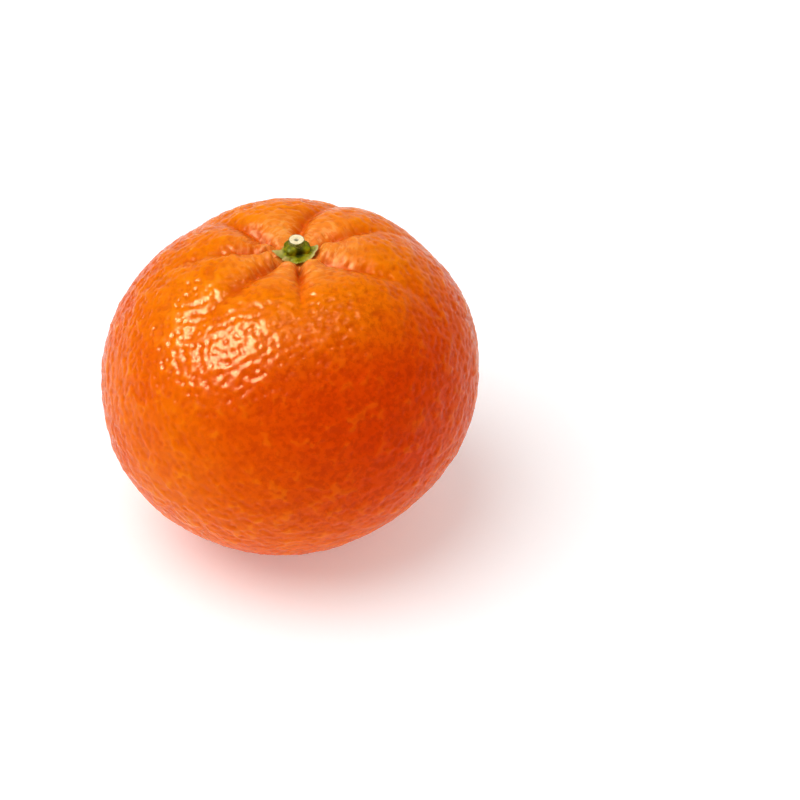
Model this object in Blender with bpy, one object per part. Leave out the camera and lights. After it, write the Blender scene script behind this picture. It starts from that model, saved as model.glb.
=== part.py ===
"""A whole mandarin as picked: the fruit, the green calyx in the hollow of its stem end, and the short
cut stem in the calyx. It stands on a small flat spot at the blossom end, with the stem end up.

Metres, +Z up. The origin lies on the surface that the fruit stands on, under the middle of its outline.
Seen from -Y, the furrows and the sepals lie as they do on the real fruit.
"""

from math import atan2, cos, degrees, exp, hypot, radians, sin, sqrt, tau
from random import Random

import bmesh
import bpy
from mathutils import Vector, noise

# The fruit: a flattened ball with a hollow at the stem end and a steep pit in it for the calyx
FRUIT_WIDTH = 0.0680
FRUIT_HEIGHT_RATIO = 0.915
LEAN = 0.050
REST_SPOT_RADIUS = 0.0080
STEM_SHIFT = 0.0019
HOLLOW_DEPTH = 0.0022
HOLLOW_RADIUS = 0.0100
PIT_DEPTH = 0.0034
PIT_RADIUS = 0.0048
PIT_STEEPNESS = 12
PIT_SHIFT = -0.0003
LOBE_BULGE = 0.0003
LOBE_ROUNDING = 14
SCAR_RADIUS = 0.0012
SCAR_DEPTH = 0.0004

# Furrows between the lobes: azimuth at the calyx, azimuth at the shoulder, depth and reach
FURROWS = (
    (25, 27, 0.0024, 0.0170),
    (85, 69, 0.0026, 0.0170),
    (145, 135, 0.0026, 0.0180),
    (180, 178, 0.0022, 0.0150),
    (229, 221, 0.0028, 0.0155),
    (274, 271, 0.0026, 0.0110),
    (320, 338, 0.0024, 0.0145),
)
FURROW_START = 0.0030
FURROW_FULL = 0.0060
SHOULDER_RADIUS = 0.0210
FURROW_FLANK = 0.0019
FLANK_RADIUS = 0.0080
FURROW_ROUNDING = 0.0003

# Relief of the rind: slow swellings, then waves and gland pits, both about twice life size here
SWELL_SIZE = 0.0150
SWELL_HEIGHT = 0.00035
WAVE_SIZE = 0.0036
WAVE_HEIGHT = 0.00045
ICOSAHEDRON_CUTS = 12
CROWDING = 0.55
GLAND_SINK = 0.00060
SMOOTH_BELOW = 0.0020
SEED = 11

# The calyx: a thin star of sepals round a lumpy collar, which the stem stands in.
# Each sepal: azimuth, reach, half spread in degrees and lift of the tip
SEPALS = (
    (8, 0.00370, 28, 0.00150),
    (62, 0.00360, 20, 0.00080),
    (112, 0.00365, 26, 0.00080),
    (181, 0.00420, 24, 0.00060),
    (230, 0.00395, 18, 0.00040),
    (272, 0.00415, 19, 0.00040),
    (318, 0.00390, 18, 0.00065),
)
NOTCH_RADIUS = 0.00320
SEPAL_THICKNESS = 0.00060
NOTCH_LIFT = 0.00045
COLLAR_RADIUS = 0.00255
COLLAR_HEIGHT = 0.00200
COLLAR_LUMPS = 5
COLLAR_LUMP_SIZE = 0.00022
CALYX_STEPS = 84

# The cut stem
STEM_RADIUS = 0.00142
STEM_HEIGHT = 0.00325
STEM_SLANT_DEGREES = 10
PITH_RADIUS = 0.00030
PITH_DEPTH = 0.00022
STEM_STEPS = 36

# Pieces that touch on the real fruit keep this gap
GAP = 0.0003
SHARP_ANGLE = radians(50)

# Colours, as the linear values of Blender's colour sockets
ORANGE = (0.84, 0.19, 0.008)
GREEN = (0.10, 0.19, 0.018)
STEM_GREEN = (0.13, 0.20, 0.035)

HALF_WIDTH = FRUIT_WIDTH / 2
HALF_HEIGHT = HALF_WIDTH * FRUIT_HEIGHT_RATIO


def smooth_step(value, low, high):
    """0 below low and 1 above high, with a smooth rise between them."""
    share = min(1.0, max(0.0, (value - low) / (high - low)))
    return share * share * (3 - 2 * share)


def furrow_azimuths(radius):
    """Where each furrow runs, in degrees, at this distance from the stem's axis."""
    share = smooth_step(radius, FURROW_START, SHOULDER_RADIUS)
    return [near + (far - near) * share for near, far, _, _ in FURROWS]


def furrow_depth(radius, azimuth):
    """How deep the creases between the lobes cut in at a place near the stem end."""
    depth = 0.0
    for angle, (_, _, full, reach) in zip(furrow_azimuths(radius), FURROWS):
        turn = (azimuth - angle + 180) % 360 - 180
        if abs(turn) > 90:
            continue
        beside = radius * abs(sin(radians(turn)))
        flank = FURROW_FLANK * (0.15 + 0.85 * radius / FLANK_RADIUS)
        crease = exp(-(hypot(beside, FURROW_ROUNDING) - FURROW_ROUNDING) / flank)
        fade = exp(-((max(0.0, radius - FURROW_FULL) / reach) ** 2))
        depth += full * crease * fade * smooth_step(radius, FURROW_START, FURROW_FULL)
    return depth


def pit_radius(azimuth):
    """How wide the pit round the calyx is here: narrower where a lobe bulges into it."""
    nearest = min(abs((azimuth - near + 180) % 360 - 180) for near, _, _, _ in FURROWS)
    return PIT_RADIUS - LOBE_BULGE * (1 - exp(-((nearest / LOBE_ROUNDING) ** 2)))


def rind_point(direction):
    """The fruit's outside, without its gland pits, for a unit direction from its middle.

    The height is counted from the middle of the fruit."""
    place = Vector((HALF_WIDTH * direction.x, HALF_WIDTH * direction.y, HALF_HEIGHT * direction.z))
    outward = rind_normal(direction)
    place += outward * SWELL_HEIGHT * noise.noise(place / SWELL_SIZE)
    if direction.z > 0:
        radius = hypot(place.x - STEM_SHIFT, place.y)
        azimuth = degrees(atan2(place.y, place.x - STEM_SHIFT)) % 360
        place -= outward * furrow_depth(radius, azimuth)
        from_pit = hypot(place.x - STEM_SHIFT - PIT_SHIFT, place.y)
        place.z -= HOLLOW_DEPTH * exp(-((radius / HOLLOW_RADIUS) ** 2))
        place.z -= PIT_DEPTH * exp(-((from_pit / pit_radius(azimuth)) ** PIT_STEEPNESS))
    place.z += LEAN * place.x
    return place


def rind_normal(direction):
    """The outward normal of the plain flattened ball."""
    return Vector(
        (direction.x / HALF_WIDTH, direction.y / HALF_WIDTH, direction.z / HALF_HEIGHT)
    ).normalized()


def crowded(direction):
    """Draws a direction towards the stem end, where the furrows need closer points."""
    polar = atan2(hypot(direction.x, direction.y), direction.z)
    polar -= CROWDING * sin(polar) * (1 + cos(polar)) / 2
    azimuth = atan2(direction.y, direction.x)
    return Vector((sin(polar) * cos(azimuth), sin(polar) * sin(azimuth), cos(polar)))


def floor_height():
    """The height, from the fruit's middle, at which the flat spot has its stated radius."""
    lowest = sqrt(HALF_HEIGHT**2 + (LEAN * HALF_WIDTH) ** 2)
    return -lowest * sqrt(1 - (REST_SPOT_RADIUS / HALF_WIDTH) ** 2)


def pitted_ball():
    """A ball of six-sided cells, each round one gland. Returns the mesh and the glands' points."""
    ball = bmesh.new()
    bmesh.ops.create_icosphere(ball, subdivisions=1, radius=1)
    bmesh.ops.subdivide_edges(ball, edges=ball.edges[:], cuts=ICOSAHEDRON_CUTS, use_grid_fill=True)
    for vert in ball.verts:
        vert.co = crowded(vert.co.normalized())
    glands = set(ball.verts)
    sides = ball.edges[:]
    bmesh.ops.poke(ball, faces=ball.faces[:])
    bmesh.ops.rotate_edges(ball, edges=sides)
    return ball, glands


def new_object(name, mesh, parts, material):
    """A visible part from a finished bmesh, shaded smooth."""
    bmesh.ops.recalc_face_normals(mesh, faces=mesh.faces[:])
    data = bpy.data.meshes.new(name)
    mesh.to_mesh(data)
    mesh.free()
    data.materials.append(material)
    data.shade_smooth()
    part = bpy.data.objects.new(name, data)
    parts.objects.link(part)
    return part


def new_material(name, colour, roughness):
    """A plain surface of one colour."""
    material = bpy.data.materials.new(name)
    material.use_nodes = True
    surface = material.node_tree.nodes["Principled BSDF"]
    surface.inputs["Base Color"].default_value = (*colour, 1)
    surface.inputs["Roughness"].default_value = roughness
    material.diffuse_color = (*colour, 1)
    return material


def make_fruit(parts, tools):
    """The fruit in one piece. Returns it with the place of its middle."""
    ball, glands = pitted_ball()
    chance = Random(SEED)
    floor = floor_height()
    for vert in ball.verts:
        direction = vert.co.normalized()
        vert.co = rind_point(direction)
        free = smooth_step(vert.co.z - floor, SMOOTH_BELOW / 2, SMOOTH_BELOW)
        if direction.z > 0:
            free = smooth_step(hypot(vert.co.x - STEM_SHIFT, vert.co.y), PIT_RADIUS, 2 * PIT_RADIUS)
        relief = WAVE_HEIGHT * noise.noise(vert.co / WAVE_SIZE)
        if vert in glands:
            relief -= GLAND_SINK * chance.random() * (1 - CROWDING * max(0, direction.z))
        vert.co += rind_normal(direction) * relief * free
    ring = bmesh.ops.bisect_plane(
        ball, geom=ball.verts[:] + ball.edges[:] + ball.faces[:], plane_co=(0, 0, floor),
        plane_no=(0, 0, -1), clear_outer=True,
    )
    rim = [item for item in ring["geom_cut"] if isinstance(item, bmesh.types.BMEdge)]
    bmesh.ops.edgeloop_fill(ball, edges=rim)

    low = [min(vert.co[axis] for vert in ball.verts) for axis in range(2)]
    high = [max(vert.co[axis] for vert in ball.verts) for axis in range(2)]
    middle = Vector((-(low[0] + high[0]) / 2, -(low[1] + high[1]) / 2, -floor))
    bmesh.ops.translate(ball, vec=middle, verts=ball.verts)
    fruit = new_object("fruit", ball, parts, new_material("rind", ORANGE, 0.42))
    cut_blossom_scar(fruit, middle, tools)
    return fruit, middle


def cut_blossom_scar(fruit, middle, tools):
    """The small round scar where the flower's style dropped, in the middle of the flat spot."""
    curve_radius = (SCAR_RADIUS**2 + SCAR_DEPTH**2) / (2 * SCAR_DEPTH)
    bpy.ops.mesh.primitive_uv_sphere_add(
        segments=48, ring_count=48, radius=curve_radius,
        location=(middle.x, middle.y, SCAR_DEPTH - curve_radius),
    )
    cutter = bpy.context.object
    cutter.name = "scar_cutter"
    move_to_collection(cutter, tools)
    cutter.hide_render = True
    cutter.display_type = "WIRE"
    scar = fruit.modifiers.new("scar", "BOOLEAN")
    scar.operation = "DIFFERENCE"
    scar.object = cutter


def move_to_collection(thing, collection):
    """Takes an object out of its collections and puts it in this one."""
    for owner in thing.users_collection:
        owner.objects.unlink(thing)
    collection.objects.link(thing)


def turned(profile, steps):
    """A closed shape turned about +Z from (radius, height) points that run from axis to axis."""
    mesh = bmesh.new()
    points = [mesh.verts.new((radius, 0, height)) for radius, height in profile]
    edges = [mesh.edges.new(pair) for pair in zip(points, points[1:])]
    bmesh.ops.spin(
        mesh, geom=points + edges, axis=(0, 0, 1), cent=(0, 0, 0), angle=tau, steps=steps,
        use_merge=True,
    )
    bmesh.ops.remove_doubles(mesh, verts=mesh.verts, dist=1e-6)
    return mesh


def sepal_edge(azimuth):
    """How far the calyx's edge stands from the axis here, and how high it is lifted."""
    reach, lift = NOTCH_RADIUS, NOTCH_LIFT
    for angle, length, spread, tip_lift in SEPALS:
        turn = abs((azimuth - angle + 180) % 360 - 180) / spread
        share = exp(-(turn**1.6))
        reach = max(reach, NOTCH_RADIUS + (length - NOTCH_RADIUS) * share)
        lift += (tip_lift - NOTCH_LIFT) * share
    return reach, lift


def calyx_profile():
    """The calyx's section: under the sepals, round their edge, over the collar and into the hole.

    Radii up to the collar are real. Beyond it they are scaled to the sepals' reach."""
    hole = STEM_RADIUS + GAP
    top = SEPAL_THICKNESS
    collar = top + COLLAR_HEIGHT
    under = [(0, 0), (0.0014, 0), (0.0024, 0), (0.0030, 0)]
    edge = [(NOTCH_RADIUS, 0.15 * top), (NOTCH_RADIUS + 0.0001, 0.5 * top), (NOTCH_RADIUS, 0.9 * top)]
    over = [(0.0030, top), (0.00275, top)]
    swell = [
        (COLLAR_RADIUS + 0.00003, top + 0.0003),
        (COLLAR_RADIUS, top + 0.0009),
        (COLLAR_RADIUS - 0.00015, top + 0.0014),
        (COLLAR_RADIUS - 0.00042, collar - 0.0002),
        (hole + 0.00012, collar),
    ]
    inside = [(hole, collar - 0.0002), (hole, top), (0, top)]
    return under + edge + over + swell + inside


def make_calyx(parts, place):
    """The sepals and the collar that they grow from, as one piece."""
    mesh = turned(calyx_profile(), CALYX_STEPS)
    spread_from = COLLAR_RADIUS + 0.0001
    for vert in mesh.verts:
        radius = hypot(vert.co.x, vert.co.y)
        azimuth = degrees(atan2(vert.co.y, vert.co.x)) % 360
        outer = smooth_step(radius, spread_from, NOTCH_RADIUS)
        reach, lift = sepal_edge(azimuth)
        wanted = radius + outer * (reach - NOTCH_RADIUS)
        if 0.0019 < radius < 0.0029 and vert.co.z > 0.95 * SEPAL_THICKNESS:
            wanted += COLLAR_LUMP_SIZE * cos(radians(azimuth * COLLAR_LUMPS + 40))
        if radius > 0:
            vert.co.x *= wanted / radius
            vert.co.y *= wanted / radius
        vert.co.z += lift * smooth_step(wanted, COLLAR_RADIUS, 0.0044)
    bmesh.ops.translate(mesh, vec=place, verts=mesh.verts)
    calyx = new_object("calyx", mesh, parts, new_material("calyx", GREEN, 0.5))
    calyx.data.set_sharp_from_angle(angle=SHARP_ANGLE)


def make_stem(parts, place):
    """The stub that was clipped short, with its small pith."""
    bottom = SEPAL_THICKNESS + GAP
    profile = [
        (0, bottom),
        (STEM_RADIUS * 0.9, bottom),
        (STEM_RADIUS, bottom + 0.0001),
        (STEM_RADIUS, STEM_HEIGHT - 0.0002),
        (STEM_RADIUS * 0.97, STEM_HEIGHT - 0.00005),
        (STEM_RADIUS * 0.88, STEM_HEIGHT),
        (PITH_RADIUS * 1.3, STEM_HEIGHT),
        (PITH_RADIUS * 0.8, STEM_HEIGHT - PITH_DEPTH),
        (0, STEM_HEIGHT - PITH_DEPTH),
    ]
    mesh = turned(profile, STEM_STEPS)
    slant = sin(radians(STEM_SLANT_DEGREES))
    for vert in mesh.verts:
        upper = smooth_step(vert.co.z, bottom + 0.0003, STEM_HEIGHT - 0.0003)
        vert.co.z += slant * vert.co.y * upper
    bmesh.ops.translate(mesh, vec=place, verts=mesh.verts)
    stem = new_object("stem", mesh, parts, new_material("stem", STEM_GREEN, 0.6))
    stem.data.set_sharp_from_angle(angle=SHARP_ANGLE)


def new_collection(name):
    """A collection in the scene."""
    collection = bpy.data.collections.new(name)
    bpy.context.scene.collection.children.link(collection)
    return collection


def main():
    for thing in list(bpy.data.objects):
        bpy.data.objects.remove(thing, do_unlink=True)
    parts = new_collection("mandarin")
    tools = new_collection("cutters")
    _, middle = make_fruit(parts, tools)
    pit_floor = HALF_HEIGHT - HOLLOW_DEPTH - PIT_DEPTH
    seat = middle + Vector((STEM_SHIFT, 0, pit_floor + LEAN * STEM_SHIFT + GAP))
    make_calyx(parts, seat)
    make_stem(parts, seat)


main()
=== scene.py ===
"""Looks for a whole mandarin: its pitted rind, its green calyx and its clipped stem.

The rind's large form follows nearly the same rules as the solids. The fine relief is added here."""

from math import atan2, cos, degrees, exp, hypot, pi, radians, sin, sqrt, tau
from random import Random

import bmesh
import bpy
from mathutils import Matrix, Vector, kdtree, noise


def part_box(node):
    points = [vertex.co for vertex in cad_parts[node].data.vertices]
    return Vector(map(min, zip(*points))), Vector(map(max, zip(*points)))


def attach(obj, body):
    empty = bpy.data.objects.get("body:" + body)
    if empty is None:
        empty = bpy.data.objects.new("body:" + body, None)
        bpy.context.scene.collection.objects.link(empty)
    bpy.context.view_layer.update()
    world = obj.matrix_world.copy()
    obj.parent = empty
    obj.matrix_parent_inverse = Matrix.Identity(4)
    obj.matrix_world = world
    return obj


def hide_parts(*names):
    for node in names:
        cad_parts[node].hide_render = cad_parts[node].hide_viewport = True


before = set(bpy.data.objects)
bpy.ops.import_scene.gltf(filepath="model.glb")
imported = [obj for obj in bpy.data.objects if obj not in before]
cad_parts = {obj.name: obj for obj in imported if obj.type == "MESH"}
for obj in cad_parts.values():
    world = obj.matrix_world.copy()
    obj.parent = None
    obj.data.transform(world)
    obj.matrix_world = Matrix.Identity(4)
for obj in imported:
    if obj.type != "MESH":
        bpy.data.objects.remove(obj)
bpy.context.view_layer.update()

MM = 0.001
SEED = 23

# Large form of the fruit, in millimetres. The hollow at the stem end is a little softer than in the solids.
HALF_WIDTH = 34.0
HALF_HEIGHT = HALF_WIDTH * 0.915
LEAN = 0.050
REST_SPOT_RADIUS = 8.0
STEM_SHIFT = 1.9
HOLLOW_DEPTH = 3.4
HOLLOW_RADIUS = 10.0
LOBE_BULGE = 0.3
LOBE_ROUNDING = 14
SWELL_SIZE = 15.0
SWELL_HEIGHT = 0.35
SCAR_RADIUS = 1.2
SCAR_DEPTH = 0.4

# The pit round the calyx. Where the sine of the azimuth is past BACK_SINE, its wall is one long slope.
PIT_DEPTH = 2.2
PIT_RADIUS = 4.9
PIT_STEEPNESS = 9
PIT_WOBBLE = 0.10
PIT_WOBBLE_SIZE = 0.9
PIT_SHIFT = -0.3
BACK_PIT_RADIUS = 6.2
BACK_PIT_STEEPNESS = 2.6
BACK_SINE = 0.7

# Furrows between the lobes: azimuth at the calyx, azimuth at the shoulder, depth, reach and width
FURROWS = (
    (25, 27, 2.4, 17.0, 1.7),
    (85, 69, 2.6, 17.0, 1.7),
    (145, 135, 2.6, 18.0, 1.7),
    (180, 178, 2.2, 15.0, 1.7),
    (229, 221, 2.8, 15.5, 2.0),
    (274, 271, 2.6, 9.0, 0.9),
    (320, 338, 2.4, 14.5, 1.3),
)
FURROW_START = 3.0
FURROW_FULL = 6.0
FURROW_ROUNDING = 0.3
SHOULDER_RADIUS = 21.0

# How wide a furrow's flanks are on the axis, and near the pit, as shares of what they are further out
FLANK_ON_AXIS = 0.15
FLANK_RADIUS = 8.0
NARROW_FLANK = 0.25
NARROW_RADIUS = 4.0

# Fine relief of the rind
RIND_CUTS = 98
CROWDING = 0.30
GLAND_COUNT = 5600
GLAND_WANDER = 0.42
GLAND_DEPTHS = (0.10, 0.26)
GLAND_RADII = (0.42, 0.62)
WAVE_SIZE = 2.9
WAVE_HEIGHT = 0.19
RIPPLE_SIZE = 1.05
RIPPLE_HEIGHT = 0.105
WRINKLE_SIZE = 0.95
WRINKLE_TURNS = 2.6
WRINKLE_HEIGHT = 0.20
WRINKLE_SPAN = (8, 24)

# How far all the relief is sunk, so that its crests stay inside the solid's box
RELIEF_SINK = 0.05

# Where the relief comes in: heights above the flat spot, and shares of the pit's radius
ABOVE_REST_SPOT = (0.1, 1.0)
OUT_OF_PIT = (0.65, 1.0)

# Where marks fade: distance from the stem's axis, then shares of the pit's radius and the scar's. The pit's
# marks place painted shade in the pit and the creases next to it.
NEAR_FADE = (6, 15)
PIT_FADE = (0.55, 0.80)
PIT_CREASE_FADE = (0.9, 1.6)
SCAR_FADE = (0.35, 1.0)
DEEP_CREASE = 2.4

# Sepals: azimuth, reach, half spread in degrees, sharpness, lift of the tip and paleness
SEPALS = (
    (4, 3.70, 25, 3.0, 1.20, 0.25),
    (62, 3.50, 20, 1.6, 0.80, 0.10),
    (112, 3.55, 24, 1.6, 0.75, 0.20),
    (181, 4.25, 12, 1.2, 0.90, 0.85),
    (227, 3.72, 11, 1.4, 0.95, 0.85),
    (270, 3.85, 14, 1.4, 0.78, 0.0),
    (333, 3.40, 16, 2.2, 0.80, 0.10),
)
SEPAL_THICKNESS = 0.6
NOTCH_RADIUS = 2.85
NOTCH_LIFT = 0.45
LIFT_SPAN = (2.1, 4.2)

# How the sepals wave: height and turns a millimetre of two noises, and where they come in
SEPAL_WAVE = (0.14, 0.9)
SEPAL_RIPPLE = (0.09, 2.1)
UNEVEN_SPAN = (2.6, 3.6)

# Where the calyx's edge curls up, and by how much
CURL_AZIMUTH = 352
CURL_SPREAD = 34
RIM_CURL = 0.25
CURL_SPAN = (-0.7, 0.1)

# Lumps of the collar: azimuth, height and half width in degrees
LUMPS = (
    (22, 0.70, 24),
    (82, 0.75, 28),
    (150, 0.75, 32),
    (230, 0.90, 36),
    (334, 1.02, 26),
)

# Fine bumps of the collar: height and turns a millimetre
COLLAR_BUMP = (0.09, 1.7)
COLLAR_FROM = 1.02
GROOVE_RADIUS = 1.60
CALYX_STEPS = 240

# Where marks of the calyx fade: distances from the edge, shares of the way out, and height of a lump.
# GROOVE_FADE and LUMP_FADE place painted shade in the grooves between the lumps.
EDGE_FADE = (0.0, 0.6)
CURL_FADE = (0.15, 0.60)
PALE_FROM_COLLAR = (1.0, 1.5)
GROOVE_FADE = (1.05, 1.4)
LUMP_FADE = (0.15, 0.65)

# The stem stub, its flare at the foot and the gap under it in the solids
GAP = 0.3
STEM_RADIUS = 1.40
STEM_TOP = 3.25
STEM_SLANT = sin(radians(6))
STEM_FLARE = 0.10
STEM_SIDE = (1.2, STEM_TOP - 0.3)
CUT_SPAN = (STEM_TOP - 0.16, STEM_TOP - 0.02)
CUT_RADIUS = 0.9
HIDDEN_FOOT = SEPAL_THICKNESS + 1.0
PITH_RADIUS = 0.36
STEM_STEPS = 120

# Colours of the rind, 0 to 255. Some are painted light and shade: the red of the shaded side, the yellow of
# the lit top, peach sheen and glints round the stem, and shade in the creases and the pit.
ORANGE = (236, 98, 0)
BRIGHT_ORANGE = (241, 110, 0)
RIPE_RED_AND_SHADE = (220, 58, 0)
SHOULDER_YELLOW_AND_LIGHT = (252, 142, 0)
GLAND_RED = (196, 46, 0)
MOTTLE_RED = (176, 40, 0)
CREST_YELLOW = (255, 146, 8)
RIPE_CREST_IN_SHADE = (240, 100, 10)
PEACH_SHEEN = (255, 170, 90)
PEACH_GLINT = (255, 172, 70)
RING_GLINT = (255, 176, 90)
CREASE_SHADE = (196, 60, 0)
PIT_SHADE = (140, 56, 2)
SCAR_BROWN = (110, 78, 40)

# Colours of the calyx, 0 to 255. The groove colour is painted shade in the collar's grooves.
OLIVE = (96, 98, 0)
BRIGHT_OLIVE = (150, 148, 2)
GROOVE_SHADE = (34, 36, 0)
PALE_SEPAL = (206, 188, 118)
PALE_CURL = (206, 194, 124)
DRY_EDGE = (206, 194, 130)

# Colours of the stem, 0 to 255
BARK_GREEN = (96, 96, 20)
BRIGHT_BARK = (148, 146, 52)
WOOD_CREAM = (250, 236, 196)
WOOD_TAN = (236, 214, 160)
PITH_GREY = (80, 84, 54)

# Sizes of the finishes' clouds and rings, in metres
PATCH_SIZE = 0.014
FLECK_SIZE = 0.0022
MOTTLE_SIZE = 0.0013
PORE_SIZE = 0.00042
RING_WIDTH = 0.0006
BLOTCH_SIZE = 0.0011
SEPAL_GRAIN = 0.00035
WOOD_GRAIN = 0.00030

# The side where the rind is reddest, partly its ripe colour and partly painted shade on the side away from
# the light, and how far along it the red begins and is full, in metres
RIPE_AND_SHADED_SIDE = (0.45, -0.79, 0.41)
RIPE_AND_SHADE_SPAN = (0.030, 0.056)

# The heights between which the shoulder turns yellow, partly its own colour and partly painted light on the
# top, in metres
YELLOW_AND_LIGHT_SPAN = (0.050, 0.066)

# The photograph's view
IMAGE_SIDE = 800
PIXELS_PER_MM = 5.55
FRUIT_PIXEL = (290.9, 370.7)
CAMERA_ELEVATION = 37
CAMERA_DISTANCE = 0.45
SENSOR = 36

# The floor, in metres: its radius, and where it turns grey. Then its colour and glow, near and far.
FLOOR_RADIUS = 2.5
FLOOR_FADE = (0.26, 0.60)
FLOOR_BASES = (0.91, 0.62)
FLOOR_GLOWS = (0.22, 0.16)

# Round soft lights: name, direction, distance, size, brightness, and whether only gloss shows it
LIGHTS = (
    ("highlight", (-0.60, -0.17, 0.78), 0.60, 0.32, 215, True),
    ("small_highlight", (0.10, -0.13, 0.98), 0.60, 0.08, 260, True),
    ("broad_light", (-0.36, -0.15, 0.92), 1.00, 1.00, 2.95, False),
)

# Surroundings for plain light and for gloss: where they change, from back to front, and both their shades
PLAIN_SURROUNDINGS = (0.1, 0.8, 0.60, 0.42)
GLOSSY_SURROUNDINGS = (-0.75, -0.2, 1.1, 0.02)
FRONT_TURN = 0.35


def smooth_step(value, low, high):
    """0 below low and 1 above high, with a smooth rise between them."""
    share = min(1.0, max(0.0, (value - low) / (high - low)))
    return share * share * (3 - 2 * share)


def turn_from(azimuth, other):
    """How many degrees one azimuth is away from another."""
    return abs((azimuth - other + 180) % 360 - 180)


def from_stem(place):
    """How far a place is from the stem's axis, and at which azimuth round it."""
    return hypot(place.x - STEM_SHIFT, place.y), degrees(atan2(place.y, place.x - STEM_SHIFT)) % 360


def from_pit_centre(place):
    """How far a place is from the middle of the pit, which is shifted a little from the stem."""
    return hypot(place.x - STEM_SHIFT - PIT_SHIFT, place.y)


def waved(place, wave):
    """How high a noise stands at a place, from its height and its turns a millimetre."""
    height, turns = wave
    return height * noise.noise(place * turns)


def furrow_azimuths(radius):
    """Where each furrow runs, in degrees, at this distance from the stem's axis."""
    share = smooth_step(radius, FURROW_START, SHOULDER_RADIUS)
    return [near + (far - near) * share for near, far, *_ in FURROWS]


def furrow_depth(radius, azimuth):
    """How deep the creases between the lobes cut in at a place near the stem end."""
    depth = 0.0
    for angle, (_, _, full, reach, width) in zip(furrow_azimuths(radius), FURROWS):
        turn = turn_from(azimuth, angle)
        if turn > 90:
            continue
        beside = radius * sin(radians(turn))
        flank = width * (FLANK_ON_AXIS + (1 - FLANK_ON_AXIS) * radius / FLANK_RADIUS)
        flank *= NARROW_FLANK + (1 - NARROW_FLANK) * smooth_step(radius, NARROW_RADIUS, FLANK_RADIUS)
        crease = exp(-(hypot(beside, FURROW_ROUNDING) - FURROW_ROUNDING) / flank)
        fade = exp(-((max(0.0, radius - FURROW_FULL) / reach) ** 2))
        depth += full * crease * fade * smooth_step(radius, FURROW_START, FURROW_FULL)
    return depth


def pit_radius(azimuth):
    """How wide the pit round the calyx is here: narrower where a lobe bulges into it."""
    nearest = min(turn_from(azimuth, near) for near, *_ in FURROWS)
    return PIT_RADIUS - LOBE_BULGE * (1 - exp(-((nearest / LOBE_ROUNDING) ** 2)))


def pit_depth(place):
    """How far the pit round the calyx sinks here: a steep wall, but a long slope behind the stem."""
    _, azimuth = from_stem(place)
    away = from_pit_centre(place) * (1 + PIT_WOBBLE * noise.noise(place / PIT_WOBBLE_SIZE))
    wall = exp(-((away / pit_radius(azimuth)) ** PIT_STEEPNESS))
    slope = exp(-((away / BACK_PIT_RADIUS) ** BACK_PIT_STEEPNESS))
    return PIT_DEPTH * (wall + (slope - wall) * smooth_step(sin(radians(azimuth)), 0.0, BACK_SINE))


def rind_normal(direction):
    """The outward normal of the plain flattened ball."""
    return Vector(
        (direction.x / HALF_WIDTH, direction.y / HALF_WIDTH, direction.z / HALF_HEIGHT)
    ).normalized()


def rind_point(direction):
    """The rind's form without its fine relief, in millimetres from the fruit's middle."""
    place = Vector((HALF_WIDTH * direction.x, HALF_WIDTH * direction.y, HALF_HEIGHT * direction.z))
    outward = rind_normal(direction)
    place += outward * SWELL_HEIGHT * noise.noise(place / SWELL_SIZE)
    if direction.z > 0:
        radius, azimuth = from_stem(place)
        place -= outward * furrow_depth(radius, azimuth)
        place.z -= HOLLOW_DEPTH * exp(-((radius / HOLLOW_RADIUS) ** 2)) + pit_depth(place)
    place.z += LEAN * place.x
    return place


def crowded(direction):
    """Draws a direction towards the stem end, where the furrows need closer points."""
    polar = atan2(hypot(direction.x, direction.y), direction.z)
    polar -= CROWDING * sin(polar) * (1 + cos(polar)) / 2
    azimuth = atan2(direction.y, direction.x)
    return Vector((sin(polar) * cos(azimuth), sin(polar) * sin(azimuth), cos(polar)))


def seat_point():
    """The underside of the calyx on the stem's axis, in metres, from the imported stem."""
    low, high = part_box("stem")
    return Vector(
        ((low[0] + high[0]) / 2, (low[1] + high[1]) / 2, low[2] - (SEPAL_THICKNESS + GAP) * MM)
    )


def fruit_middle():
    """The middle of the flattened ball, in metres, worked back from the calyx's seat."""
    rise = HALF_HEIGHT - HOLLOW_DEPTH - PIT_DEPTH + LEAN * STEM_SHIFT + GAP
    return seat_point() - Vector((STEM_SHIFT, 0, rise)) * MM


def floor_height():
    """The height, from the fruit's middle, of the flat spot."""
    lowest = sqrt(HALF_HEIGHT**2 + (LEAN * HALF_WIDTH) ** 2)
    return -lowest * sqrt(1 - (REST_SPOT_RADIUS / HALF_WIDTH) ** 2)


def crease_wrinkle(place):
    """Fine wrinkles round the stem, which die out over the shoulder."""
    radius, _ = from_stem(place)
    azimuth = atan2(place.y, place.x - STEM_SHIFT)
    along = Vector((radius / WRINKLE_SIZE, cos(azimuth) * WRINKLE_TURNS, sin(azimuth) * WRINKLE_TURNS))
    return WRINKLE_HEIGHT * noise.noise(along) * (1 - smooth_step(radius, *WRINKLE_SPAN))


def scatter_glands(chance):
    """Oil glands all over the rind: a tree of their places with each one's depth and radius."""
    tree = kdtree.KDTree(GLAND_COUNT)
    sizes = []
    spacing = sqrt(4 * pi / GLAND_COUNT)
    golden = pi * (1 + sqrt(5))
    for index in range(GLAND_COUNT):
        up = 1 - 2 * (index + 0.5) / GLAND_COUNT
        across = sqrt(1 - up * up)
        direction = Vector((across * cos(golden * index), across * sin(golden * index), up))
        wander = Vector([chance.gauss(0, 1) for _ in range(3)])
        direction = (direction + wander * spacing * GLAND_WANDER / 2).normalized()
        tree.insert(direction * HALF_WIDTH, index)
        sizes.append((chance.uniform(*GLAND_DEPTHS), chance.uniform(*GLAND_RADII)))
    tree.balance()
    return tree, sizes


def add_object(name, data):
    """Links a new object to the scene."""
    made = bpy.data.objects.new(name, data)
    bpy.context.scene.collection.objects.link(made)
    return made


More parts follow.
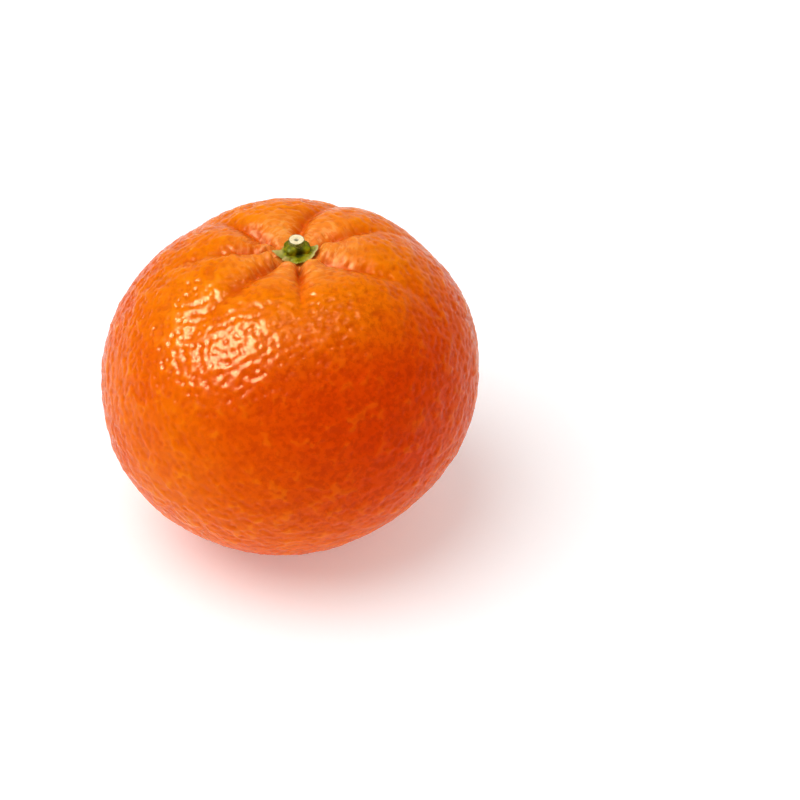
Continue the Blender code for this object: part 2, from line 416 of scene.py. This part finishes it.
def new_piece(name, mesh, marks, rows, place):
    """A finished, smooth object from a bmesh in millimetres, with a row of marks for each point."""
    bmesh.ops.transform(mesh, matrix=Matrix.Translation(place) @ Matrix.Scale(MM, 4), verts=mesh.verts)
    data = bpy.data.meshes.new(name)
    mesh.to_mesh(data)
    mesh.free()
    data.shade_smooth()
    for mark, values in zip(marks, zip(*rows)):
        data.attributes.new(mark, "FLOAT", "POINT").data.foreach_set("value", values)
    return add_object(name, data)


def make_rind():
    """The outside of the fruit with its glands, waves and the scar at the blossom end."""
    glands, sizes = scatter_glands(Random(SEED))
    ball = bmesh.new()
    bmesh.ops.create_icosphere(ball, subdivisions=1, radius=1)
    bmesh.ops.subdivide_edges(ball, edges=ball.edges[:], cuts=RIND_CUTS, use_grid_fill=True)
    floor = floor_height()
    rows = []
    for vert in ball.verts:
        direction = crowded(vert.co.normalized())
        place = rind_point(direction)
        on_ball = direction * HALF_WIDTH
        _, index, away = glands.find(on_ball)
        depth, gland_radius = sizes[index]
        relief = -RELIEF_SINK - depth * exp(-((away / gland_radius) ** 2))
        relief += WAVE_HEIGHT * noise.noise(on_ball / WAVE_SIZE)
        relief += RIPPLE_HEIGHT * noise.noise(on_ball / RIPPLE_SIZE)
        free = smooth_step(place.z - floor, *ABOVE_REST_SPOT)
        pit = crease = near = 0.0
        if direction.z > 0:
            radius, azimuth = from_stem(place)
            near = 1 - smooth_step(radius, *NEAR_FADE)
            from_pit = from_pit_centre(place) / PIT_RADIUS
            free = smooth_step(from_pit, *OUT_OF_PIT)
            crease = min(1.0, furrow_depth(radius, azimuth) / DEEP_CREASE)
            # The pit mark: where painted shade darkens the pit's floor and the creases next to it
            pit = 1 - smooth_step(from_pit, *PIT_FADE)
            pit = max(pit, crease * (1 - smooth_step(from_pit, *PIT_CREASE_FADE)))
            relief += crease_wrinkle(place)
        place += rind_normal(direction) * relief * free
        place.z = max(place.z, floor)
        from_scar = hypot(place.x, place.y) / SCAR_RADIUS
        scar = 1 - smooth_step(from_scar, *SCAR_FADE) if direction.z < 0 else 0.0
        place.z += SCAR_DEPTH * scar
        vert.co = place
        rows.append(((relief + RELIEF_SINK) * free, scar, pit, crease, near))
    bmesh.ops.recalc_face_normals(ball, faces=ball.faces[:])
    return new_piece("rind", ball, ("high", "scar", "pit", "crease", "near"), rows, fruit_middle())


def turned(profile, steps):
    """A closed shape turned about +Z from (radius, height) points that run from axis to axis."""
    mesh = bmesh.new()
    points = [mesh.verts.new((radius, 0, height)) for radius, height in profile]
    edges = [mesh.edges.new(pair) for pair in zip(points, points[1:])]
    bmesh.ops.spin(
        mesh, geom=points + edges, axis=(0, 0, 1), cent=(0, 0, 0), angle=tau, steps=steps,
        use_merge=True,
    )
    bmesh.ops.remove_doubles(mesh, verts=mesh.verts, dist=1e-4)
    bmesh.ops.recalc_face_normals(mesh, faces=mesh.faces[:])
    return mesh


def between(start, end, count):
    """Points in a straight line, with the first end and without the last."""
    return [
        (start[0] + (end[0] - start[0]) * step / count, start[1] + (end[1] - start[1]) * step / count)
        for step in range(count)
    ]


def calyx_profile():
    """The calyx's section: under the sepals, round their edge, up the collar and down to the stem.

    A first number up to 1 is a share of the way to the collar's foot. From 1 to 2 it leads on to
    the sepals' edge. The second is the height."""
    under = between((0, 0), (2, 0), 20)
    edge = [(2.0, 0.0), (2.05, 0.07), (2.05, 0.17)]
    brim = [(2.0, 0.24), (1.93, 0.28), (1.84, 0.34), (1.74, 0.42), (1.63, 0.51), (1.52, 0.61)]
    brim += [(1.41, 0.72), (1.30, 0.83), (1.20, 0.92), (1.10, 0.98), (1.02, 1.01)]
    collar = [(0.96, 1.03), (0.93, 1.08), (0.935, 1.18), (0.965, 1.30), (0.99, 1.44), (1.00, 1.58)]
    collar += [(1.00, 1.72), (0.985, 1.86), (0.955, 2.00), (0.91, 2.13), (0.85, 2.26), (0.78, 2.37)]
    collar += [(0.70, 2.46), (0.61, 2.53), (0.53, 2.57), (0.44, 2.58)]
    return under + edge + brim + collar + [(0, 2.5)]


def sepal_edge(azimuth):
    """How far the calyx's edge stands from the axis here, its lift and how pale it is."""
    reach, lift, pale = NOTCH_RADIUS, NOTCH_LIFT, 0.0
    for angle, length, spread, sharpness, tip_lift, paleness in SEPALS:
        share = exp(-((turn_from(azimuth, angle) / spread) ** sharpness))
        reach = max(reach, NOTCH_RADIUS + (length - NOTCH_RADIUS) * share)
        lift += (tip_lift - NOTCH_LIFT) * share
        pale += paleness * share
    return reach, lift, pale


def upturned(azimuth):
    """How far the calyx's edge curls up here, from 0 to 1: it does so on the right."""
    return exp(-((turn_from(azimuth, CURL_AZIMUTH) / CURL_SPREAD) ** 4))


def collar_foot(azimuth):
    """How far the collar's foot stands from the axis here."""
    return GROOVE_RADIUS + sum(
        height * exp(-((turn_from(azimuth, angle) / spread) ** 2)) for angle, height, spread in LUMPS
    )


def make_calyx():
    """The star of sepals with the lumpy collar in its middle."""
    mesh = turned(calyx_profile(), CALYX_STEPS)
    rows = []
    for vert in mesh.verts:
        share = hypot(vert.co.x, vert.co.y)
        azimuth = degrees(atan2(vert.co.y, vert.co.x)) % 360
        reach, lift, pale = sepal_edge(azimuth)
        foot = collar_foot(azimuth)
        curl = upturned(azimuth)
        on_collar = share <= 1.0001 and vert.co.z > COLLAR_FROM
        radius = foot * min(1.0, share) + (reach - foot) * max(0.0, share - 1)
        from_edge = reach - radius
        place = Vector((cos(radians(azimuth)), sin(radians(azimuth)), 0)) * radius
        place.z = vert.co.z
        if on_collar:
            bump = waved(place, COLLAR_BUMP) * min(1.0, share * 1.5)
            place.x += bump * place.x / max(0.5, radius)
            place.y += bump * place.y / max(0.5, radius)
        place.z += lift * smooth_step(radius, *LIFT_SPAN)
        place.z += RIM_CURL * curl * smooth_step(-from_edge, *CURL_SPAN)
        uneven = waved(place, SEPAL_WAVE) + waved(place, SEPAL_RIPPLE)
        place.z += uneven * smooth_step(radius, *UNEVEN_SPAN)
        vert.co = place
        edge = 1 - smooth_step(from_edge, *EDGE_FADE)
        pale = 0.0 if on_collar else pale * smooth_step(share, *PALE_FROM_COLLAR)
        # Painted shade in the grooves between the collar's lumps
        groove_shade = 1 - smooth_step(foot - GROOVE_RADIUS, *LUMP_FADE)
        groove_shade = groove_shade * (1 - smooth_step(share, *GROOVE_FADE)) if vert.co.z > 0.5 else 0.0
        rows.append((edge, pale, groove_shade, curl * (1 - smooth_step(from_edge, *CURL_FADE))))
    return new_piece("sepals_and_collar", mesh, ("edge", "pale", "groove_shade", "curl"), rows, seat_point())


def stem_profile():
    """The stub's section: up its side, over the cut and down into the pith."""
    bottom = SEPAL_THICKNESS + GAP
    side = between((STEM_RADIUS * 1.02, bottom), (STEM_RADIUS, STEM_TOP - 0.28), 12)
    rim = [
        (STEM_RADIUS, STEM_TOP - 0.20),
        (STEM_RADIUS * 0.995, STEM_TOP - 0.10),
        (STEM_RADIUS * 0.97, STEM_TOP - 0.03),
        (STEM_RADIUS * 0.93, STEM_TOP),
    ]
    face = between((STEM_RADIUS * 0.86, STEM_TOP - 0.015), (PITH_RADIUS * 1.35, STEM_TOP - 0.06), 10)
    pith = [
        (PITH_RADIUS * 1.1, STEM_TOP - 0.08),
        (PITH_RADIUS * 0.85, STEM_TOP - 0.20),
        (PITH_RADIUS * 0.5, STEM_TOP - 0.25),
        (0, STEM_TOP - 0.25),
    ]
    return [(0, bottom), (STEM_RADIUS * 0.6, bottom)] + side + rim + face + pith


def make_stem():
    """The stub left where the fruit was clipped from its twig."""
    mesh = turned(stem_profile(), STEM_STEPS)
    rows = []
    for vert in mesh.verts:
        radius = hypot(vert.co.x, vert.co.y)
        height = vert.co.z
        azimuth = atan2(vert.co.y, vert.co.x)
        up_side = smooth_step(height, *STEM_SIDE)
        grain = 0.012 * sin(azimuth * 3 + 1.3) + 0.03 * noise.noise(vert.co * 2.2)
        share = 1 + (grain + STEM_FLARE * (1 - up_side)) * smooth_step(radius, 0.3, 1.2)
        vert.co.x *= share
        vert.co.y *= share
        vert.co.z += STEM_SLANT * vert.co.y * up_side
        vert.co.z += 0.035 * noise.noise(vert.co * 3.1) * smooth_step(height, STEM_TOP - 0.3, STEM_TOP)
        cut = smooth_step(height, *CUT_SPAN) if radius > CUT_RADIUS else 1.0
        rows.append((cut if vert.co.z > HIDDEN_FOOT else 0.0, radius / STEM_RADIUS))
    return new_piece("stem_stub", mesh, ("cut", "centre"), rows, seat_point())


class Wire:
    """The output of a shader node. Sums, products and quotients of wires add Math nodes."""

    def __init__(self, paint, socket):
        self.paint = paint
        self.socket = socket

    def joined(self, operation, first, second):
        return self.paint.node("ShaderNodeMath", {"operation": operation}, {0: first, 1: second})

    def __add__(self, other):
        return self.joined("ADD", self, other)

    def __radd__(self, other):
        return self.joined("ADD", other, self)

    def __mul__(self, other):
        return self.joined("MULTIPLY", self, other)

    def __rmul__(self, other):
        return self.joined("MULTIPLY", other, self)

    def __truediv__(self, other):
        return self.joined("DIVIDE", self, other)

    def __rtruediv__(self, other):
        return self.joined("DIVIDE", other, self)


class Paint:
    """The nodes of a material, or of the surroundings, up to the one that is its surface."""

    def __init__(self, block, surface="Principled BSDF"):
        block.use_nodes = True
        self.block = block
        self.tree = block.node_tree
        self.surface = self.tree.nodes[surface]

    def node(self, kind, settings=None, sockets=None, output=0):
        """Adds a node: its settings first, then the values or wires of its sockets."""
        made = self.tree.nodes.new(kind)
        for name, value in (settings or {}).items():
            setattr(made, name, value)
        for name, value in (sockets or {}).items():
            self.feed(self.socket_of(made.inputs, name), value)
        return Wire(self, self.socket_of(made.outputs, output))

    def socket_of(self, sockets, name):
        """A socket by number, identifier or name."""
        if isinstance(name, int):
            return sockets[name]
        for socket in sockets:
            if name in (socket.identifier, socket.name) and socket.enabled:
                return socket
        raise KeyError(name)

    def feed(self, socket, value):
        """Sets a socket's own value, or links a wire to it."""
        if isinstance(value, Wire):
            self.tree.links.new(value.socket, socket)
        else:
            socket.default_value = value

    def set(self, **values):
        """Feeds the surface's sockets, with their names' spaces written as underscores."""
        for name, value in values.items():
            self.feed(self.surface.inputs[name.replace("_", " ")], value)

    def place(self):
        return self.node("ShaderNodeTexCoord", output="Object")

    def mark(self, name):
        """A number that the mesh holds at each of its points."""
        return self.node("ShaderNodeAttribute", {"attribute_name": name}, output="Fac")

    def vector(self, operation, *values, output="Vector"):
        """Vector maths on wires and plain vectors."""
        return self.node("ShaderNodeVectorMath", {"operation": operation}, dict(enumerate(values)), output)

    def along(self, place, direction):
        """How far a place lies in a direction."""
        return self.vector("DOT_PRODUCT", place, Vector(direction).normalized(), output="Value")

    def noise(self, place, scale, detail=2.0, roughness=0.5):
        """Soft noise between 0 and 1."""
        return self.node(
            "ShaderNodeTexNoise", {"noise_dimensions": "3D"},
            {"Vector": place, "Scale": scale, "Detail": detail, "Roughness": roughness}, "Fac",
        )

    def cloud(self, size, detail=2.0, roughness=0.5):
        """Noise with swells of about this size in metres."""
        return self.noise(self.place(), 1 / size, detail, roughness)

    def rings(self, width, turns, shift):
        """Noise drawn out into rings of this width about an upright axis that is shifted to +X."""
        flat = self.vector("MULTIPLY_ADD", self.place(), (1, 1, 0), (-shift, 0, 0))
        radius = self.vector("LENGTH", flat, output="Value")
        heading = self.vector("NORMALIZE", flat)
        outward = self.node("ShaderNodeCombineXYZ", {}, {2: radius / width})
        return self.noise(self.vector("MULTIPLY_ADD", heading, (turns, turns, 0), outward), 1.0)

    def ramp(self, value, low, high, start=0.0, end=1.0):
        """A smooth change from start to end while the value goes from low to high."""
        return self.node(
            "ShaderNodeMapRange", {"interpolation_type": "SMOOTHSTEP"},
            {"Value": value, "From Min": low, "From Max": high, "To Min": start, "To Max": end},
            "Result",
        )

    def blend(self, share, first, second):
        """Two colours mixed by a share."""
        return self.node(
            "ShaderNodeMix", {"data_type": "RGBA"},
            {"Factor_Float": share, "A_Color": first, "B_Color": second}, "Result_Color",
        )

    def coats(self, base, *coats):
        """A colour under others: each coat is a share and a colour, which may be a wire."""
        for share, colour in coats:
            base = self.blend(share, base, colour if isinstance(colour, Wire) else linear(colour))
        return base

    def bump(self, height, distance):
        """A normal from a height between 0 and 1 times a distance in metres."""
        return self.node("ShaderNodeBump", {}, {"Height": height, "Distance": distance}, "Normal")


def linear(colour):
    """The linear colour of a colour given as 0 to 255."""
    parts = [((part / 255 + 0.055) / 1.055) ** 2.4 if part > 10 else part / 3295 for part in colour]
    return (*parts, 1)


def grey(brightness):
    """A plain grey of this linear brightness."""
    return (brightness, brightness, brightness, 1)


def rind_finish():
    """Deep orange, darker and redder at each gland and softly waxy, with painted light and shade: redder on
    the shaded side, yellower on the lit top, a peach sheen with glints round the stem, and shade in the
    creases and the pit.
    """
    paint = Paint(bpy.data.materials.new("mandarin_rind"))
    high = paint.mark("high")
    crease = paint.mark("crease")
    near = paint.mark("near")
    patch = paint.cloud(PATCH_SIZE, 3.0)
    fleck = paint.cloud(FLECK_SIZE, 3.0)
    mottle = paint.cloud(MOTTLE_SIZE, 4.0, 0.7)
    # Redder towards one side: partly ripeness, partly painted shade on the side away from the light
    blush_and_shade = paint.ramp(paint.along(paint.place(), RIPE_AND_SHADED_SIDE) + patch * 0.012, *RIPE_AND_SHADE_SPAN)
    # Yellower towards the top: partly the rind's colour, partly painted light on the lit top
    shoulder = paint.ramp(paint.along(paint.place(), (0, 0, 1)) + patch * 0.008, *YELLOW_AND_LIGHT_SPAN)
    low = paint.ramp(high, -0.17, -0.01, 1.0, 0.0) * paint.ramp(fleck, 0.30, 0.70, 0.10, 0.36)
    crest = paint.ramp(high, 0.00, 0.10) * paint.ramp(fleck, 0.20, 0.80, 0.15, 0.45)
    # Dark mottling, made stronger on the red side with its painted shade
    spots = paint.ramp(mottle, 0.40, 0.62, 0.0, 0.10) + blush_and_shade * paint.ramp(mottle, 0.46, 0.58, 0.0, 0.30)
    # Painted peach sheen on the lobes round the stem, away from the creases
    sheen_near_stem = near * paint.ramp(crease, 0.15, 0.75, 1.0, 0.0)
    # Painted glints along fine rings round the stem
    ring_glints = paint.ramp(paint.rings(RING_WIDTH, 5.0, STEM_SHIFT * MM), 0.50, 0.62)
    base = paint.coats(
        paint.blend(paint.ramp(patch, 0.35, 0.65), linear(ORANGE), linear(BRIGHT_ORANGE)),
        # The red side: partly ripe colour, partly painted shade
        (blush_and_shade, RIPE_RED_AND_SHADE),
        # The yellow top: partly its own colour, partly painted light
        (shoulder * 0.7, SHOULDER_YELLOW_AND_LIGHT),
        (low, GLAND_RED),
        (spots, MOTTLE_RED),
        (crest, paint.blend(blush_and_shade, linear(CREST_YELLOW), linear(RIPE_CREST_IN_SHADE))),
        # Painted peach sheen, with painted glints on the crests and along rings, round the stem
        (sheen_near_stem * 0.2, PEACH_SHEEN),
        (paint.ramp(high, 0.02, 0.30) * sheen_near_stem * 0.4, PEACH_GLINT),
        (ring_glints * near * 0.5, RING_GLINT),
        # Painted shade in the creases between the lobes
        (paint.ramp(crease, 0.35, 1.0, 0.0, 0.6), CREASE_SHADE),
        # Painted shade on the pit's floor round the calyx
        (paint.mark("pit") * 0.5, PIT_SHADE),
        (paint.mark("scar"), SCAR_BROWN),
    )
    paint.set(
        Base_Color=base,
        Roughness=paint.ramp(fleck, 0.3, 0.7, 0.19, 0.26) + near * 0.22,
        Normal=paint.bump(paint.cloud(PORE_SIZE, 2.0), 0.00003),
        IOR=1.15,
        Specular_Tint=(1.0, 0.52, 0.26, 1),
        Subsurface_Weight=0.15,
        Subsurface_Radius=(1.0, 0.25, 0.05),
        Subsurface_Scale=0.0015,
    )
    return paint.block


def calyx_finish():
    """Olive green with painted shade in the collar's grooves, and paler, greyer sepals with dry edges in
    places.
    """
    paint = Paint(bpy.data.materials.new("calyx_green"))
    blotch = paint.cloud(BLOTCH_SIZE, 3.0)
    grain = paint.cloud(SEPAL_GRAIN, 3.0)
    dry = paint.mark("edge") * paint.ramp(blotch, 0.42, 0.62, 0.0, 0.3)
    green = paint.coats(
        paint.blend(paint.ramp(blotch, 0.35, 0.65), linear(OLIVE), linear(BRIGHT_OLIVE)),
        # Painted shade in the collar's grooves
        (paint.mark("groove_shade") * 0.9, GROOVE_SHADE),
        (paint.mark("pale"), PALE_SEPAL),
        (paint.mark("curl") * 0.75, PALE_CURL),
        (dry * paint.ramp(grain, 0.3, 0.6, 0.4, 1.0), DRY_EDGE),
    )
    paint.set(
        Base_Color=green,
        Roughness=paint.ramp(grain, 0.3, 0.7, 0.4, 0.6),
        Normal=paint.bump(grain, 0.00004),
        Specular_IOR_Level=0.06,
        Specular_Tint=(0.8, 0.9, 0.2, 1),
        Subsurface_Weight=0.10,
        Subsurface_Radius=(0.3, 0.6, 0.1),
        Subsurface_Scale=0.0006,
    )
    return paint.block


def stem_finish():
    """Green bark, a pale cut with a bark rim, and a dark pith."""
    paint = Paint(bpy.data.materials.new("stem_green"))
    centre = paint.mark("centre")
    grain = paint.cloud(WOOD_GRAIN, 3.0)
    streak = paint.ramp(grain, 0.35, 0.65)
    bark = paint.blend(streak, linear(BARK_GREEN), linear(BRIGHT_BARK))
    wood = paint.coats(
        paint.blend(streak, linear(WOOD_CREAM), linear(WOOD_TAN)),
        (paint.ramp(centre + grain * 0.1, 0.16, 0.44, 0.9, 0.0), PITH_GREY),
        (paint.ramp(centre, 0.84, 0.96), bark),
    )
    paint.set(
        Base_Color=paint.blend(paint.mark("cut"), bark, wood),
        Roughness=paint.ramp(grain, 0.3, 0.7, 0.5, 0.7),
        Specular_IOR_Level=0.08,
        Normal=paint.bump(grain, 0.00006),
    )
    return paint.block


def floor_finish():
    """Matt white round the fruit with a painted glow that lightens its shadows, greyer further off."""
    paint = Paint(bpy.data.materials.new("white_table"))
    far = paint.ramp(paint.vector("LENGTH", paint.place(), output="Value"), *FLOOR_FADE)
    paint.set(
        Base_Color=paint.blend(far, *map(grey, FLOOR_BASES)),
        Emission_Color=paint.blend(far, *map(grey, FLOOR_GLOWS)),
        Emission_Strength=1.0,
        Roughness=0.9,
        Specular_IOR_Level=0.1,
    )
    return paint.block


def dress(piece, node, finish):
    """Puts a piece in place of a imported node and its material."""
    piece.data.materials.append(finish)
    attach(piece, "root")
    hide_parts(node)


def make_floor():
    """The plain white surface that the fruit stands on."""
    sheet = bmesh.new()
    bmesh.ops.create_circle(sheet, cap_ends=True, segments=96, radius=FLOOR_RADIUS)
    data = bpy.data.meshes.new("white_floor")
    sheet.to_mesh(data)
    sheet.free()
    data.materials.append(floor_finish())
    floor = add_object("white_floor", data)


def look_axes(elevation):
    """Right, up and towards the camera, for a camera in front of the fruit."""
    angle = radians(elevation)
    return (
        Vector((1, 0, 0)),
        Vector((0, sin(angle), cos(angle))),
        Vector((0, -cos(angle), sin(angle))),
    )


def make_camera(middle):
    """A camera at the photograph's height, with the fruit where the photograph has it."""
    right, up, back = look_axes(CAMERA_ELEVATION)
    camera = add_object("camera", bpy.data.cameras.new("camera"))
    offset = [IMAGE_SIDE / 2 - FRUIT_PIXEL[0], FRUIT_PIXEL[1] - IMAGE_SIDE / 2]
    aim = middle + (right * offset[0] + up * offset[1]) * MM / PIXELS_PER_MM
    camera.location = middle + back * CAMERA_DISTANCE
    camera.rotation_euler = (aim - camera.location).to_track_quat("-Z", "Y").to_euler()
    camera.data.sensor_width = SENSOR
    camera.data.lens = SENSOR * CAMERA_DISTANCE * PIXELS_PER_MM / (IMAGE_SIDE * MM)
    camera.data.clip_start = 0.01
    bpy.context.scene.camera = camera


def make_softbox(middle, name, direction, distance, size, brightness, glossy):
    """A round soft light at the fruit from a direction: one for highlights, or one for plain light."""
    lamp = bpy.data.lights.new(name, "AREA")
    lamp.shape = "DISK"
    lamp.size = size
    lamp.energy = brightness * pi * pi * (size / 2) ** 2
    light = add_object(name, lamp)
    towards = Vector(direction).normalized()
    light.visible_glossy = glossy
    light.visible_diffuse = not glossy
    light.location = middle + towards * distance
    light.rotation_euler = towards.to_track_quat("Z", "Y").to_euler()


def make_surroundings():
    """White surroundings that are darker on the camera's side, as in front of a white sweep."""
    paint = Paint(bpy.data.worlds.new("studio"), "Background")
    right, _, back = look_axes(CAMERA_ELEVATION)
    heading = paint.node("ShaderNodeTexCoord", output="Generated")
    facing = paint.along(heading, back - FRONT_TURN * right)
    plain, glossy = [paint.ramp(facing, *way) for way in (PLAIN_SURROUNDINGS, GLOSSY_SURROUNDINGS)]
    in_gloss = paint.node("ShaderNodeLightPath", output="Is Glossy Ray")
    shade = paint.node(
        "ShaderNodeMix", {}, {"Factor_Float": in_gloss, "A_Float": plain, "B_Float": glossy}, "Result_Float",
    )
    paint.set(Color=shade, Strength=1.0)
    bpy.context.scene.world = paint.block


def main():
    middle = fruit_middle()
    dress(make_rind(), "fruit", rind_finish())
    dress(make_calyx(), "calyx", calyx_finish())
    dress(make_stem(), "stem", stem_finish())
    make_floor()
    make_surroundings()
    for light in LIGHTS:
        make_softbox(middle, *light)
    make_camera(middle)
    scene = bpy.context.scene
    scene.view_settings.view_transform = "Standard"
    scene.view_settings.look = "None"


main()
